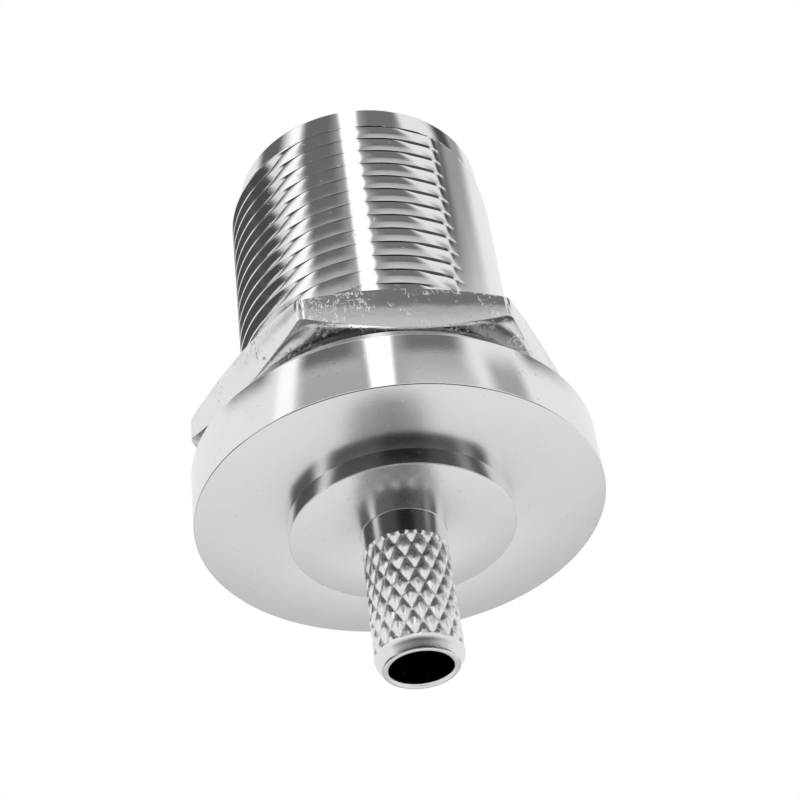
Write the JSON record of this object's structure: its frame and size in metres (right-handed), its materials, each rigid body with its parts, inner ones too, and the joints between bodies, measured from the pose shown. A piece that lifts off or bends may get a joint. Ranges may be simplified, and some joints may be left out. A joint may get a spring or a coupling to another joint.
{
  "type": "coaxial bulkhead connector",
  "caption": "Threaded round coaxial jack for a panel, with a round flange, sealing ring, lock washer, hex nut and a knurled crimp post for the cable.",
  "frame": {"origin": "centre of the flange's face that seats on the panel", "axes": "+Z along the barrel towards the mating end; +X towards the barrel's flat"},
  "size_m": [0.022, 0.022, 0.0339],
  "materials": {
    "plated_body": "bright nickel plating over turned brass",
    "plated_post": "nickel plating over knurled brass",
    "ring_rubber": "matt black rubber",
    "insulator": "waxy white fluoropolymer",
    "contact_plating": "gold plating",
    "washer_plating": "nickel plated spring bronze",
    "plated_nut": "nickel plating, scratched by handling"
  },
  "bodies": {
    "shell": {"jack_body": "plated_body", "crimp_post": "plated_post", "sealing_ring": "ring_rubber", "front_insulator": "insulator", "rear_insulator": "insulator", "center_contact": "contact_plating"},
    "washer": {"lock_washer": "washer_plating"},
    "nut": {"hex_nut": "plated_nut"}
  },
  "joints": [
    {"name": "nut_travel", "type": "slide", "parent": "shell", "child": "washer", "axis": [0, 0, 1], "range_m": [0, 0.01694]},
    {"name": "nut_turn", "type": "hinge", "parent": "washer", "child": "nut", "pos_m": [0, 0, 0.00317], "axis": [0, 0, 1], "range_deg": [0, 5760]}
  ],
  "couplings": [
    {"joint": "nut_travel", "follows": "nut_turn", "m_per_rad": 0.00016844}
  ]
}
